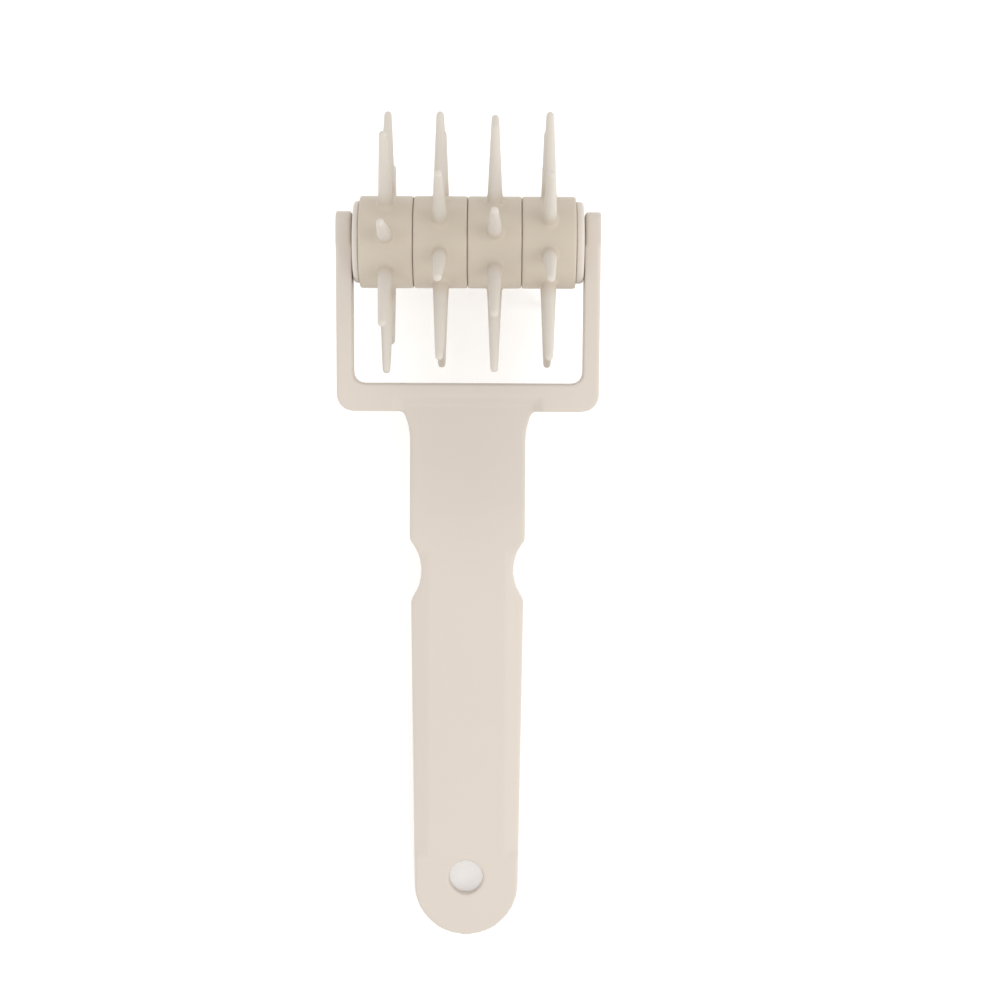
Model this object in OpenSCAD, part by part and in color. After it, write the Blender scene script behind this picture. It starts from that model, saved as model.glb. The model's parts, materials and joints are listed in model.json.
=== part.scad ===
// Dough docker: a hand roller with four spiked rings in a forked handle.
// It lies as on a table: spike tips and tail end touch z = 0, roller axis along X, roller end towards +Y.
// The handle is drawn with the axle at the origin, its length along Y and its front face towards +Z.

/* [Fork] */
// Outer width of the fork at the crossbar
fork_w = 64.6; // [58:0.1:74]
// Thickness of each arm across the fork
arm_t = 4; // [3:0.1:6]
// Front to back thickness of the fork and the grip
body_t = 8; // [6:0.1:11]
// Distance from the axle to the crossbar's inner edge
arm_len = 34.6; // [34:0.1:42]
// Depth of the crossbar along the handle
crossbar_d = 6.9; // [5:0.1:10]
// Reach of the arms past the axle
arm_end = 7.5; // [6:0.1:10]
// How far each arm leans outwards over its whole length
arm_splay = 0.25; // [0:0.05:1.5]
// Radius of the fork's outer corners
corner_r = 4.2; // [2:0.1:5.5]
// Radius of the fork's inner corners
inner_r = 2.6; // [1:0.1:4]
// Rounding of the arm ends, seen from the side
arm_end_r = 3; // [1:0.1:3.8]

/* [Neck and grip] */
// Width of the neck
neck_w = 28.5; // [24:0.1:34]
// Width of the grip below the notches
grip_w = 27.9; // [24:0.1:34]
// Width of the tail, twice the radius of its round end
tail_w = 25.8; // [20:0.1:30]
// Distance from the axle to the tail end
tail_len = 172.6; // [155:0.1:200]
// Thickness of the tail around the hanging hole
tail_t = 3.8; // [2.4:0.1:5]
// Distance from the tail end to where the back starts to thin
thin_start = 50; // [40:1:70]
// Distance from the tail end to where the back has its tail thickness
thin_stop = 21; // [18:0.5:30]
// Length of the flare where the neck meets the crossbar
flare_len = 7.2; // [4:0.1:12]
// Widening of the neck at the crossbar on each side
flare_w = 1.7; // [0.8:0.1:3]
// Depth of the neck's front face below the crossbar
neck_dip = 1.6; // [0.4:0.1:2.4]
// Width of the sloped ends of that dip in the crossbar
dip_run = 2.4; // [1:0.1:4]
// Width of the crossbar's inner edge that the dip leaves at full height
dip_rim = 3; // [2:0.1:4]
// Distance from the flare to where the dip is down to a third of its depth
dip_fade = 12; // [8:0.5:16]
// Distance from the middle of the notches to where the dip has nearly run out
dip_thin = 14; // [10:0.5:18]
// Distance from the middle of the notches to the end of the dip
dip_end = 8; // [4:0.5:9]

/* [Thumb notches] */
// Distance from the axle to the middle of the notches
notch_y = 81; // [76:0.5:90]
// Depth of each notch
notch_depth = 2.7; // [1:0.1:3.5]
// Radius of each notch
notch_r = 12.05; // [8:0.05:18]

/* [Bevels of the grip] */
// Width of the flat middle of the grip
flat_w = 19; // [14:0.5:22]
// Slope of the side bevels in degrees
bevel_slope = 17; // [8:1:24]
// Distance from the axle to the start of the bevels
bevel_start = 75.5; // [72:0.5:80]
// Distance from the end of the bevels to the tail end
bevel_stop = 20; // [16:0.5:30]
// Length of the run-out at both ends of the bevels
bevel_run = 3; // [1:0.5:6]

/* [Hanging hole] */
// Diameter of the hanging hole
hole_d = 8.4; // [5:0.1:11]
// Distance from the hole to the tail end
hole_inset = 14.6; // [10:0.1:18]

/* [Axle] */
// Diameter of the axle rod
axle_d = 4; // [3:0.1:5]
// How far each rod end sits below the arm's outer face
axle_inset = 0.2; // [0:0.05:0.8]
// Radial running clearance of the roller on the rod
axle_gap = 0.08; // [0.03:0.01:0.1]

/* [Roller] */
// Diameter of the hubs at both ends of the roller
hub_d = 20; // [17:0.1:22]
// Thickness of the left hub flange
flange_t = 1.5; // [1:0.1:2.5]
// Thickness of the right hub cap
cap_t = 1.9; // [1:0.1:2.5]
// Rounding of the hubs' outer corners
hub_round = 0.8; // [0.3:0.05:0.95]
// Gap between the left arm and the roller
side_gap_left = 0.3; // [0.1:0.02:0.6]
// Gap between the right arm and the roller
side_gap_right = 0.2; // [0.1:0.02:0.6]
// Diameter of the spool inside the rings
spool_d = 14; // [11:0.1:16]
// Width of the spool's two keys
key_w = 3; // [2:0.1:4]
// Height of the keys above the spool
key_h = 1.6; // [1:0.1:2]
// Diameter of the cap's spigot
spigot_d = 9; // [7:0.1:10]
// Length of the cap's spigot
spigot_len = 8; // [4:0.5:14]
// Radial clearance of the pressed spigot
spigot_gap = 0.02; // [0:0.01:0.05]

/* [Spiked rings] */
// Number of rings on the spool
ring_count = 4; // [4]
// Outer diameter of each ring
ring_d = 22.5; // [20:0.1:26]
// Axial clearance of the rings beside each other
ring_gap = 0.06; // [0.04:0.01:0.1]
// Radial clearance of the rings on the spool
ring_fit = 0.08; // [0.04:0.01:0.1]
// Edge break on the rings' outer corners
ring_edge = 0.25; // [0.1:0.05:0.5]
// Play of each ring about its keys in degrees, each way
key_play = 3; // [2.95:0.05:4]
// Slack between key and keyway at the end of the play
key_gap = 0.05; // [0.02:0.01:0.1]

/* [Spikes] */
// Number of spikes around each ring
spike_count = 8; // [6:1:10]
// Radius of the circle that the spike tips touch
tip_r = 32.4; // [27:0.1:34]
// Diameter of a spike where it leaves the ring
spike_base_d = 3.8; // [3:0.1:5]
// Diameter of a spike at its rounded tip
spike_tip_d = 2; // [1.2:0.1:2.6]
// Size of the small fillet at the spike's foot
spike_foot = 0.45; // [0.2:0.05:0.8]
// How much wider than high that fillet is
foot_spread = 1.5; // [1:0.1:2]

/* [Hidden] */
$fn = 64;
plastic = [0.87, 0.83, 0.78];
steel = [0.72, 0.73, 0.75];

half_t = body_t / 2;
eps = 0.01;
over = 1;

// Fork
arm_total = arm_len + arm_end;
gap_w = fork_w - 2 * arm_t;
splay_rate = arm_splay / arm_total;
axle_gap_w = gap_w + 2 * splay_rate * arm_len;
hub_gap_w = gap_w + 2 * splay_rate * (arm_len - hub_d / 2);
bar_y = -arm_len - crossbar_d;
flare_r = (flare_len * flare_len + flare_w * flare_w) / (2 * flare_w);

// Grip and tail
tail_r = tail_w / 2;
tail_cy = tail_r - tail_len;
hole_y = hole_inset - tail_len;
notch_half = sqrt(notch_r * notch_r - (notch_r - notch_depth) * (notch_r - notch_depth));
notch_top = -notch_y + notch_half;
notch_end = -notch_y - notch_half;
notch_mid_w = (neck_w + grip_w) / 2;
thin_from = tail_len - thin_start;
thin_to = tail_len - thin_stop;
thin_steps = 8;
bevel_drop = (max(neck_w, grip_w) / 2 + over - flat_w / 2) * tan(bevel_slope);

// Roller
roller_len = hub_gap_w - side_gap_left - side_gap_right;
roller_x0 = -hub_gap_w / 2 + side_gap_left;
roller_x1 = roller_x0 + roller_len;
rings_len = roller_len - flange_t - cap_t;
ring_w = (rings_len - (ring_count + 1) * ring_gap) / ring_count;
ring_x0 = roller_x0 + flange_t + ring_gap;
axle_bore_d = axle_d + 2 * axle_gap;
key_r = spool_d / 2 + key_h;
keyway_half = key_w / 2 * cos(key_play) + key_r * sin(key_play) + key_gap;
keyway_r = key_r + ring_fit;
spike_step = 360 / spike_count;
key_angle = spike_step / 4;

// How far the roller is turned in the photo, and where each ring stands in its key play, in degrees
roller_turn = 2.95;
ring_slack = [2.4, 2.9, -2.9, 2.9];
function flipped(i) = i % 2 == 1;
function ring_turn(i) = roller_turn + (flipped(i) ? spike_step / 2 : 0) + ring_slack[i];
function ring_x(i) = ring_x0 + ring_w / 2 + i * (ring_w + ring_gap);

// Rest on the table: the axle's height, the handle's tilt and the place of the axle along Y
tip_round = spike_tip_d / 2;
tip_c = tip_r - tip_round;
function tip_reach(dir) = max([for (i = [0:ring_count - 1], k = [0:spike_count - 1])
    tip_c * cos(ring_turn(i) + k * spike_step - dir) + tip_round]);
axle_z = tip_reach(0);
tail_back = half_t - tail_t;
tail_arm = sqrt(tail_len * tail_len + tail_back * tail_back);
tilt = atan(tail_back / tail_len) + asin(axle_z / tail_arm);
front_y = tip_reach(90);
rear_y = -tail_len * cos(tilt) - half_t * sin(tilt);
axle_y = -(front_y + rear_y) / 2;

// Puts what is drawn about the axle into its place on the table
module at_axle() {
    translate([0, axle_y, axle_z]) children();
}

// Leans the handle back until its tail end touches the table
module leaning() {
    at_axle() rotate([tilt, 0, 0]) children();
}

module both_sides() {
    children();
    mirror([1, 0, 0]) children();
}

// A square corner less its round, to cut away at a convex corner or to add in a concave one,
// with its two straight sides grown outwards so that it meets its neighbour without a seam
module corner_piece(r, grow) {
    difference() {
        translate([-grow, -grow]) square(r + grow);
        translate([r, r]) circle(r);
    }
}

module arm_outline() {
    x0 = gap_w / 2;
    polygon([[x0, -arm_len - corner_r / 2], [x0 + arm_t, -arm_len],
        [x0 + arm_t + arm_splay, arm_end], [x0 + arm_splay, arm_end], [x0, -arm_len]]);
    translate([x0, -arm_len]) mirror([1, 0]) corner_piece(inner_r, arm_t / 4);
}

module crossbar_outline() {
    difference() {
        translate([-fork_w / 2, bar_y]) square([fork_w, crossbar_d]);
        both_sides() translate([-fork_w / 2, bar_y]) corner_piece(corner_r, over);
    }
}

module flare_outline() {
    difference() {
        translate([neck_w / 2 - over, bar_y - flare_len]) square([flare_w + over, flare_len + over]);
        translate([neck_w / 2 + flare_r, bar_y - flare_len]) circle(flare_r, $fn = 128);
    }
}

module grip_outline() {
    polygon([[-neck_w / 2, bar_y + over], [neck_w / 2, bar_y + over], [neck_w / 2, notch_top],
        [grip_w / 2, notch_end], [tail_r, tail_cy], [-tail_r, tail_cy],
        [-grip_w / 2, notch_end], [-neck_w / 2, notch_top]]);
}

// Gives an outline the full thickness of the handle
module plate() {
    linear_extrude(body_t, center = true) children();
}

module handle_plate() {
    difference() {
        union() {
            plate() crossbar_outline();
            both_sides() plate() arm_outline();
            both_sides() plate() flare_outline();
            plate() grip_outline();
            translate([0, tail_cy, 0]) cylinder(h = body_t, r = tail_r, center = true, $fn = 128);
        }
        both_sides() translate([notch_mid_w / 2 - notch_depth + notch_r, -notch_y, 0])
            cylinder(h = 2 * body_t, r = notch_r, center = true, $fn = 128);
    }
}

// Side view of the handle: Y across the page, Z up
function smooth(t) = t * t * (3 - 2 * t);
module side_outline() {
    end_y = arm_end - arm_end_r;
    end_z = half_t - arm_end_r;
    front_end = [for (a = [0:15:90]) [end_y + arm_end_r * sin(a), end_z + arm_end_r * cos(a)]];
    back_end = [for (a = [90:15:180]) [end_y + arm_end_r * sin(a), arm_end_r * cos(a) - end_z]];
    thinning = [for (i = [0:thin_steps]) [-thin_from - (thin_to - thin_from) * i / thin_steps,
        -half_t + (body_t - tail_t) * smooth(i / thin_steps)]];
    polygon(concat([[-tail_len, half_t]], front_end, back_end, thinning, [[-tail_len, tail_back]]));
}

// The neck's front face slopes down towards the crossbar, and the crossbar's ends stand proud of it
module neck_dip_cut() {
    fade_share = 0.35;
    thin_share = 0.08;
    low = half_t - neck_dip;
    rim = -arm_len - dip_rim;
    dip_w = neck_w / 2 + flare_w;
    intersection() {
        rotate([90, 0, 90]) linear_extrude(fork_w, center = true)
            polygon([[rim, half_t + eps], [rim, half_t], [rim - dip_run, low],
                [bar_y - flare_len - dip_fade, half_t - neck_dip * fade_share],
                [dip_thin - notch_y, half_t - neck_dip * thin_share],
                [dip_end - notch_y, half_t], [dip_end - notch_y, half_t + eps]]);
        rotate([90, 0, 0]) linear_extrude(2 * tail_len, center = true)
            polygon([[-dip_w - dip_run, half_t + eps], [-dip_w, low - eps],
                [dip_w, low - eps], [dip_w + dip_run, half_t + eps]]);
    }
}

// One sloped side bevel on the front of the grip, with a run-out at both ends
module bevel_cut() {
    x_out = flat_w / 2 + bevel_drop / tan(bevel_slope);
    y0 = -bevel_start;
    y1 = bevel_stop - tail_len;
    low = half_t - bevel_drop;
    intersection() {
        rotate([90, 0, 0]) linear_extrude(2 * tail_len, center = true)
            polygon([[flat_w / 2, half_t], [x_out, low], [x_out, half_t + over], [flat_w / 2, half_t + over]]);
        rotate([90, 0, 90]) linear_extrude(fork_w, center = true)
            polygon([[y0, half_t], [y0, half_t + over], [y1, half_t + over], [y1, half_t],
                [y1 + bevel_run, low - eps], [y0 - bevel_run, low - eps]]);
    }
}

module handle_fork() {
    color(plastic) leaning() difference() {
        intersection() {
            handle_plate();
            rotate([90, 0, 90]) linear_extrude(2 * fork_w, center = true) side_outline();
        }
        neck_dip_cut();
        both_sides() bevel_cut();
        translate([0, hole_y, 0]) cylinder(h = 2 * body_t, d = hole_d, center = true);
        rotate([0, 90, 0]) cylinder(h = 2 * fork_w, d = axle_d, center = true);
    }
}

module axle_rod() {
    rod_len = axle_gap_w + 2 * arm_t - 2 * axle_inset;
    color(steel) at_axle() rotate([0, 90, 0]) cylinder(h = rod_len, d = axle_d, center = true);
}

// Half section of a hub disc from x = 0, rounded on its outer corner, to be turned about the axle
module hub_section(t) {
    difference() {
        square([hub_d / 2, t]);
        translate([hub_d / 2, 0]) mirror([1, 0]) corner_piece(hub_round, over);
    }
}

// Turns a section whose first axis is the radius, and whose second runs along +X from x
module turned(x) {
    translate([x, 0, 0]) rotate([0, 90, 0]) rotate_extrude(angle = 360) children();
}

module roller_core() {
    spool_x0 = roller_x0 + flange_t;
    color(plastic) at_axle() difference() {
        union() {
            turned(roller_x0) hub_section(flange_t);
            translate([spool_x0 - eps, 0, 0]) rotate([0, 90, 0]) cylinder(h = rings_len + eps, d = spool_d);
            rotate([key_angle + roller_turn, 0, 0]) translate([spool_x0 - eps, -key_w / 2, -key_r])
                cube([rings_len - ring_gap, key_w, 2 * key_r]);
        }
        translate([roller_x0 - over, 0, 0]) rotate([0, 90, 0])
            cylinder(h = roller_len + 2 * over, d = axle_bore_d);
        translate([roller_x1 - cap_t - spigot_len - 2 * ring_gap, 0, 0]) rotate([0, 90, 0])
            cylinder(h = spigot_len + cap_t + over, d = spigot_d + 2 * spigot_gap);
    }
}

module hub_cap() {
    color(plastic) at_axle() difference() {
        union() {
            mirror([1, 0, 0]) turned(-roller_x1) hub_section(cap_t);
            translate([roller_x1 - cap_t - spigot_len, 0, 0]) rotate([0, 90, 0])
                cylinder(h = spigot_len + eps, d = spigot_d);
        }
        translate([roller_x1 - cap_t - spigot_len - over, 0, 0]) rotate([0, 90, 0])
            cylinder(h = spigot_len + cap_t + 2 * over, d = axle_bore_d);
    }
}

// One spike along -Z from the axle, with a small fillet at its foot and a round tip
module spike() {
    base_r = ring_d / 2;
    slope = (spike_base_d - spike_tip_d) / 2 / (tip_c - base_r);
    inner = base_r - over;
    rotate([180, 0, 0]) {
        translate([0, 0, inner])
            cylinder(h = tip_c - inner, r1 = spike_base_d / 2 + slope, r2 = tip_round, $fn = 32);
        translate([0, 0, tip_c]) sphere(tip_round, $fn = 32);
        translate([0, 0, base_r - spike_foot])
            cylinder(h = 2 * spike_foot, r1 = spike_base_d / 2 + foot_spread * spike_foot,
                r2 = spike_base_d / 2 - spike_foot * slope, $fn = 32);
    }
}

// One ring centred on x = 0, with two keyways a quarter of the spike pitch past a spike
module ring_body() {
    bore_r = spool_d / 2 + ring_fit;
    difference() {
        union() {
            turned(-ring_w / 2) polygon([[spigot_d / 2, 0], [ring_d / 2 - ring_edge, 0],
                [ring_d / 2, ring_edge], [ring_d / 2, ring_w - ring_edge],
                [ring_d / 2 - ring_edge, ring_w], [spigot_d / 2, ring_w]]);
            for (k = [0:spike_count - 1]) rotate([k * spike_step, 0, 0]) spike();
        }
        rotate([0, 90, 0]) cylinder(h = ring_w + 2 * over, r = bore_r, center = true);
        rotate([key_angle, 0, 0]) cube([ring_w + 2 * over, 2 * keyway_half, 2 * keyway_r], center = true);
    }
}

// Every other ring is the same moulding turned end for end, which staggers its spikes by half a pitch
module spike_ring(i) {
    color(plastic) at_axle() translate([ring_x(i), 0, 0]) rotate([ring_turn(i), 0, 0])
        rotate([0, 0, flipped(i) ? 180 : 0]) ring_body();
}

handle_fork();
axle_rod();
roller_core();
hub_cap();
spike_ring(0);  // spike_ring_1
spike_ring(1);  // spike_ring_2
spike_ring(2);  // spike_ring_3
spike_ring(3);  // spike_ring_4
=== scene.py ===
import json
import math

import bmesh
import bpy
from mathutils import Matrix, Vector


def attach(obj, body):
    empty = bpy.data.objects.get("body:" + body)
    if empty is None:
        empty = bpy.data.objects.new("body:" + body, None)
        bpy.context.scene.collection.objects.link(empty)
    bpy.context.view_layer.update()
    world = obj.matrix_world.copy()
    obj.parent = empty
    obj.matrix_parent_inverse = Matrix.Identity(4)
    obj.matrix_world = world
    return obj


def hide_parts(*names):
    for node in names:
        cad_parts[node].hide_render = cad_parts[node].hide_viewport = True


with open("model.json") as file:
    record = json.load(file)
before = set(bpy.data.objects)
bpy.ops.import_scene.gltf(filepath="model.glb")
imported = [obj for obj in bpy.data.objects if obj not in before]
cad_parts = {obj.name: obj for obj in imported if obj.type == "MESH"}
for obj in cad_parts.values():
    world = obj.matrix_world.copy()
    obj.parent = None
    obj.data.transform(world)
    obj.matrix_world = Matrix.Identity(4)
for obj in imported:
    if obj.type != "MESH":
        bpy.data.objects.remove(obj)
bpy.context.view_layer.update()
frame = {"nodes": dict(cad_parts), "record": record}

MM = 0.001

# Main sizes of the part, in millimetres and degrees
TILT = 10.886
RING_R = 11.25
SPIKE_PALE_R = 17.0

# The roller's axle, from its joint in the record
JOINTS = {j["name"]: j for j in frame["record"]["behaviour"]["joints"]}
AXLE = Vector(JOINTS["roller_spin"]["pos_m"])
RINGS = 4

# From the handle's own frame, with the axle at its origin and its front face towards +Z, to the row's frame
LEAN = Matrix.Translation(AXLE) @ Matrix.Rotation(math.radians(TILT), 4, "X")
UPRIGHT = Matrix.Translation(AXLE)

# Softened copies: the size of a voxel in millimetres, and how often the surface is relaxed
HANDLE_VOXEL = 0.5
HANDLE_RELAX = 6
RING_VOXEL = 0.36
RING_RELAX = 3
HUB_VOXEL = 0.3
HUB_RELAX = 3
WELD_WITHIN = 0.001

# Camera, in the handle's frame in millimetres, fitted to points read off the photograph
CAMERA_AT = (7.773, -23.593, 515.262)
CAMERA_AIM = (8.049, -63.536, 0.0)
CAMERA_ROLL = 0.269
FOCAL_PX = 2079.665
IMAGE_PX = 1000
SENSOR_MM = 36.0

# Linear base colours
CREAM = (0.597, 0.534, 0.470)
CREAM_HUB = (0.625, 0.568, 0.503)
CREAM_RING = (0.535, 0.468, 0.385)
CREAM_SPIKE = (0.600, 0.552, 0.492)
STEEL = (0.56, 0.56, 0.57)

# Painted shade on the neck, darkening its colour where its dip runs into the crossbar: its middle, how much
# narrower than long it is, its reach and its strength
NECK_SHADE_AT = (0.0, 0.030, 0.0)
NECK_SHADE_NARROW = 1.6
NECK_SHADE_FULL = 0.010
NECK_SHADE_END = 0.050
NECK_PAINTED_SHADE = 0.92
FLOOR = (0.93, 0.93, 0.93)

# Light
RIGHT_WATTS = 2.6
LEFT_WATTS = 0.9
TAIL_WATTS = 1.0
SKY = 1.0
FLOOR_GLOW = 0.19


def node(tree, kind, **values):
    made = tree.nodes.new(kind)
    for key, value in values.items():
        setattr(made, key, value)
    return made


def plastic(name, base, deep, roughness):
    """Moulded satin plastic: faint cloudy tone, a fine matt skin and slow waves of the tool's surface"""
    material = bpy.data.materials.new(name)
    material.use_nodes = True
    tree = material.node_tree
    shader = tree.nodes["Principled BSDF"]
    link = tree.links.new
    place = node(tree, "ShaderNodeTexCoord")

    cloud = node(tree, "ShaderNodeTexNoise")
    cloud.inputs["Scale"].default_value = 45
    cloud.inputs["Detail"].default_value = 3
    link(place.outputs["Object"], cloud.inputs["Vector"])
    tone = node(tree, "ShaderNodeValToRGB")
    tone.color_ramp.elements[0].position = 0.3
    tone.color_ramp.elements[0].color = (*deep, 1)
    tone.color_ramp.elements[1].position = 0.62
    tone.color_ramp.elements[1].color = (*base, 1)
    link(cloud.outputs["Fac"], tone.inputs["Fac"])
    link(tone.outputs["Color"], shader.inputs["Base Color"])

    skin = node(tree, "ShaderNodeTexNoise")
    skin.inputs["Scale"].default_value = 900
    skin.inputs["Detail"].default_value = 2
    link(place.outputs["Object"], skin.inputs["Vector"])
    gloss = node(tree, "ShaderNodeMapRange")
    gloss.inputs["To Min"].default_value = roughness - 0.05
    gloss.inputs["To Max"].default_value = roughness + 0.07
    link(skin.outputs["Fac"], gloss.inputs["Value"])
    link(gloss.outputs["Result"], shader.inputs["Roughness"])

    grain = node(tree, "ShaderNodeBump")
    grain.inputs["Strength"].default_value = 0.12
    grain.inputs["Distance"].default_value = 0.00004
    link(skin.outputs["Fac"], grain.inputs["Height"])
    wave = node(tree, "ShaderNodeBump")
    wave.inputs["Strength"].default_value = 0.25
    wave.inputs["Distance"].default_value = 0.0003
    link(cloud.outputs["Fac"], wave.inputs["Height"])
    link(grain.outputs["Normal"], wave.inputs["Normal"])
    link(wave.outputs["Normal"], shader.inputs["Normal"])
    shader.inputs["IOR"].default_value = 1.49
    shader.inputs["Specular IOR Level"].default_value = 0.35
    return material


def paint_neck_shade(material):
    """Painted shade: the base colour is darkened a little where the neck's dip runs into the crossbar, where
    shade falls
    """
    tree = material.node_tree
    shader = tree.nodes["Principled BSDF"]
    link = tree.links.new
    tone = shader.inputs["Base Color"].links[0].from_socket
    place = node(tree, "ShaderNodeTexCoord")
    spread = node(tree, "ShaderNodeVectorMath", operation="SUBTRACT")
    spread.inputs[1].default_value = NECK_SHADE_AT
    link(place.outputs["Object"], spread.inputs[0])
    narrow = node(tree, "ShaderNodeVectorMath", operation="MULTIPLY")
    narrow.inputs[1].default_value = (NECK_SHADE_NARROW, 1, 0)
    link(spread.outputs["Vector"], narrow.inputs[0])
    reach = node(tree, "ShaderNodeVectorMath", operation="LENGTH")
    link(narrow.outputs["Vector"], reach.inputs[0])
    fade = node(tree, "ShaderNodeMapRange", interpolation_type="SMOOTHSTEP")
    fade.inputs["From Min"].default_value = NECK_SHADE_FULL
    fade.inputs["From Max"].default_value = NECK_SHADE_END
    fade.inputs["To Min"].default_value = NECK_PAINTED_SHADE
    fade.inputs["To Max"].default_value = 1
    link(reach.outputs["Value"], fade.inputs["Value"])
    mixed = node(tree, "ShaderNodeVectorMath", operation="SCALE")
    link(tone, mixed.inputs[0])
    link(fade.outputs["Result"], mixed.inputs["Scale"])
    link(mixed.outputs["Vector"], shader.inputs["Base Color"])


def paler_spikes(material):
    """The thin spikes let more light through than the ring they stand on, so they look paler"""
    tree = material.node_tree
    shader = tree.nodes["Principled BSDF"]
    link = tree.links.new
    tone = shader.inputs["Base Color"].links[0].from_socket
    place = node(tree, "ShaderNodeTexCoord")
    spread = node(tree, "ShaderNodeVectorMath", operation="SUBTRACT")
    spread.inputs[1].default_value = AXLE
    link(place.outputs["Object"], spread.inputs[0])
    across = node(tree, "ShaderNodeVectorMath", operation="MULTIPLY")
    across.inputs[1].default_value = (0, 1, 1)
    link(spread.outputs["Vector"], across.inputs[0])
    reach = node(tree, "ShaderNodeVectorMath", operation="LENGTH")
    link(across.outputs["Vector"], reach.inputs[0])
    fade = node(tree, "ShaderNodeMapRange", interpolation_type="SMOOTHSTEP")
    fade.inputs["From Min"].default_value = RING_R * MM
    fade.inputs["From Max"].default_value = SPIKE_PALE_R * MM
    link(reach.outputs["Value"], fade.inputs["Value"])
    mixed = node(tree, "ShaderNodeMix", data_type="RGBA")
    link(fade.outputs["Result"], mixed.inputs["Factor"])
    link(tone, mixed.inputs[6])
    mixed.inputs[7].default_value = (*CREAM_SPIKE, 1)
    link(mixed.outputs[2], shader.inputs["Base Color"])


def steel(name):
    """Drawn rod: fine lines along the axle and a slightly varied sheen"""
    material = bpy.data.materials.new(name)
    material.use_nodes = True
    tree = material.node_tree
    shader = tree.nodes["Principled BSDF"]
    link = tree.links.new
    place = node(tree, "ShaderNodeTexCoord")
    stretch = node(tree, "ShaderNodeMapping")
    stretch.inputs["Scale"].default_value = (0.03, 1, 1)
    link(place.outputs["Object"], stretch.inputs["Vector"])
    lines = node(tree, "ShaderNodeTexNoise")
    lines.inputs["Scale"].default_value = 2500
    lines.inputs["Detail"].default_value = 2
    link(stretch.outputs["Vector"], lines.inputs["Vector"])
    sheen = node(tree, "ShaderNodeMapRange")
    sheen.inputs["To Min"].default_value = 0.25
    sheen.inputs["To Max"].default_value = 0.42
    link(lines.outputs["Fac"], sheen.inputs["Value"])
    link(sheen.outputs["Result"], shader.inputs["Roughness"])
    tone = node(tree, "ShaderNodeValToRGB")
    tone.color_ramp.elements[0].color = (*[0.85 * v for v in STEEL], 1)
    tone.color_ramp.elements[1].color = (*STEEL, 1)
    link(lines.outputs["Fac"], tone.inputs["Fac"])
    link(tone.outputs["Color"], shader.inputs["Base Color"])
    shader.inputs["Metallic"].default_value = 1.0
    return material


def softened(source, name, to_frame, voxel, relax, material):
    """A copy of a CAD node with its edges rounded: remeshed finely in its own frame, relaxed and put back"""
    mesh = frame["nodes"][source].data.copy()
    mesh.transform(to_frame.inverted())
    piece = bpy.data.objects.new(name, mesh)
    bpy.context.collection.objects.link(piece)
    weld = bmesh.new()
    weld.from_mesh(mesh)
    bmesh.ops.remove_doubles(weld, verts=weld.verts, dist=WELD_WITHIN * MM)
    weld.to_mesh(mesh)
    weld.free()
    remesh = piece.modifiers.new("voxels", "REMESH")
    remesh.mode = "VOXEL"
    remesh.voxel_size = voxel * MM
    smooth = piece.modifiers.new("relax", "SMOOTH")
    smooth.factor = 0.5
    smooth.iterations = relax
    settled = piece.evaluated_get(bpy.context.evaluated_depsgraph_get())
    final = bpy.data.meshes.new_from_object(settled)
    piece.modifiers.clear()
    final.transform(to_frame)
    final.materials.clear()
    final.materials.append(material)
    for face in final.polygons:
        face.use_smooth = True
    piece.data = final
    return piece


handle_look = plastic("cream_handle", CREAM, [0.985 * v for v in CREAM], 0.5)
# Painted shade darkens the handle's colour where the neck runs into the crossbar
paint_neck_shade(handle_look)
roller_look = plastic("cream_roller", CREAM_HUB, [0.97 * v for v in CREAM_HUB], 0.48)
ring_look = plastic("cream_ring", CREAM_RING, [0.965 * v for v in CREAM_RING], 0.48)
paler_spikes(ring_look)
rod_look = steel("drawn_steel")

handle = softened("handle_fork", "handle_moulding", LEAN, HANDLE_VOXEL, HANDLE_RELAX, handle_look)
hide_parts("handle_fork")
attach(handle, "handle")

for i in range(1, RINGS + 1):
    middle = Matrix.Translation(Vector(JOINTS["ring_%d_play" % i]["pos_m"]))
    ring = softened("spike_ring_%d" % i, "ring_moulding_%d" % i, middle, RING_VOXEL, RING_RELAX, ring_look)
    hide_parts("spike_ring_%d" % i)
    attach(ring, "ring_%d" % i)

for name, new_name in (("roller_core", "spool_moulding"), ("hub_cap", "hub_moulding")):
    hub = softened(name, new_name, UPRIGHT, HUB_VOXEL, HUB_RELAX, roller_look)
    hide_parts(name)
    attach(hub, "roller")

rod = frame["nodes"]["axle_rod"]
for slot in rod.material_slots:
    slot.material = rod_look


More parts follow.
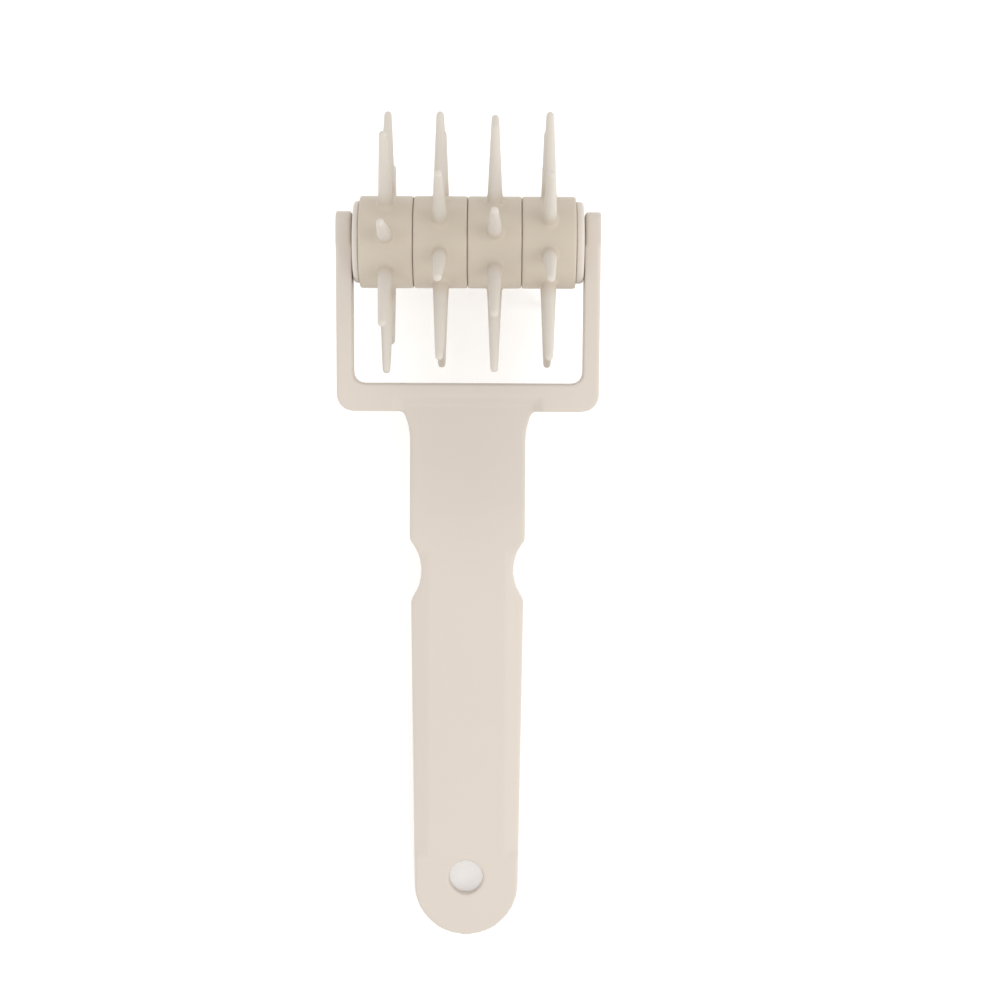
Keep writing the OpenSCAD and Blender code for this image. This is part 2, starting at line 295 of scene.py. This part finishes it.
# Camera at the photograph's place
eye = LEAN @ (MM * Vector(CAMERA_AT))
aim = LEAN @ (MM * Vector(CAMERA_AIM))
along = (aim - eye).normalized()
up_hint = (LEAN.to_3x3() @ Vector((0, 1, 0))).normalized()
right = along.cross(up_hint).normalized()
up = right.cross(along)
roll = math.radians(CAMERA_ROLL)
right, up = right * math.cos(roll) + up * math.sin(roll), up * math.cos(roll) - right * math.sin(roll)
lens = bpy.data.cameras.new("camera")
lens.sensor_width = SENSOR_MM
lens.lens = FOCAL_PX / IMAGE_PX * SENSOR_MM
camera = bpy.data.objects.new("camera", lens)
turn = Matrix((right, up, -along)).transposed()
camera.matrix_world = Matrix.Translation(eye) @ turn.to_4x4()
bpy.context.collection.objects.link(camera)
bpy.context.scene.camera = camera


# Floor
bpy.ops.mesh.primitive_plane_add(size=40, location=(0, 0, 0))
floor = bpy.context.object
floor.name = "floor"
paper = bpy.data.materials.new("paper")
paper.use_nodes = True
paper.node_tree.nodes["Principled BSDF"].inputs["Base Color"].default_value = (*FLOOR, 1)
paper.node_tree.nodes["Principled BSDF"].inputs["Roughness"].default_value = 0.95
paper.node_tree.nodes["Principled BSDF"].inputs["Emission Color"].default_value = (1, 1, 1, 1)
paper.node_tree.nodes["Principled BSDF"].inputs["Emission Strength"].default_value = FLOOR_GLOW
floor.data.materials.append(paper)


def softbox(name, at, size, watts):
    """An area light that looks at the middle of the tool"""
    data = bpy.data.lights.new(name, "AREA")
    data.shape = "RECTANGLE"
    data.size, data.size_y = size
    data.energy = watts
    light = bpy.data.objects.new(name, data)
    light.location = at
    middle = Vector((0, 0, 0.02))
    light.rotation_euler = (middle - light.location).to_track_quat("-Z", "Y").to_euler()
    bpy.context.collection.objects.link(light)


softbox("right_box", (0.75, -0.1, 0.55), (0.6, 0.9), RIGHT_WATTS)
softbox("left_box", (-0.75, -0.1, 0.6), (0.6, 0.9), LEFT_WATTS)
softbox("tail_box", (0.0, -0.8, 0.8), (0.8, 0.5), TAIL_WATTS)

world = bpy.data.worlds.new("studio")
world.use_nodes = True
world.node_tree.nodes["Background"].inputs["Color"].default_value = (1, 1, 1, 1)
world.node_tree.nodes["Background"].inputs["Strength"].default_value = SKY
bpy.context.scene.world = world
bpy.context.scene.view_settings.view_transform = "Standard"
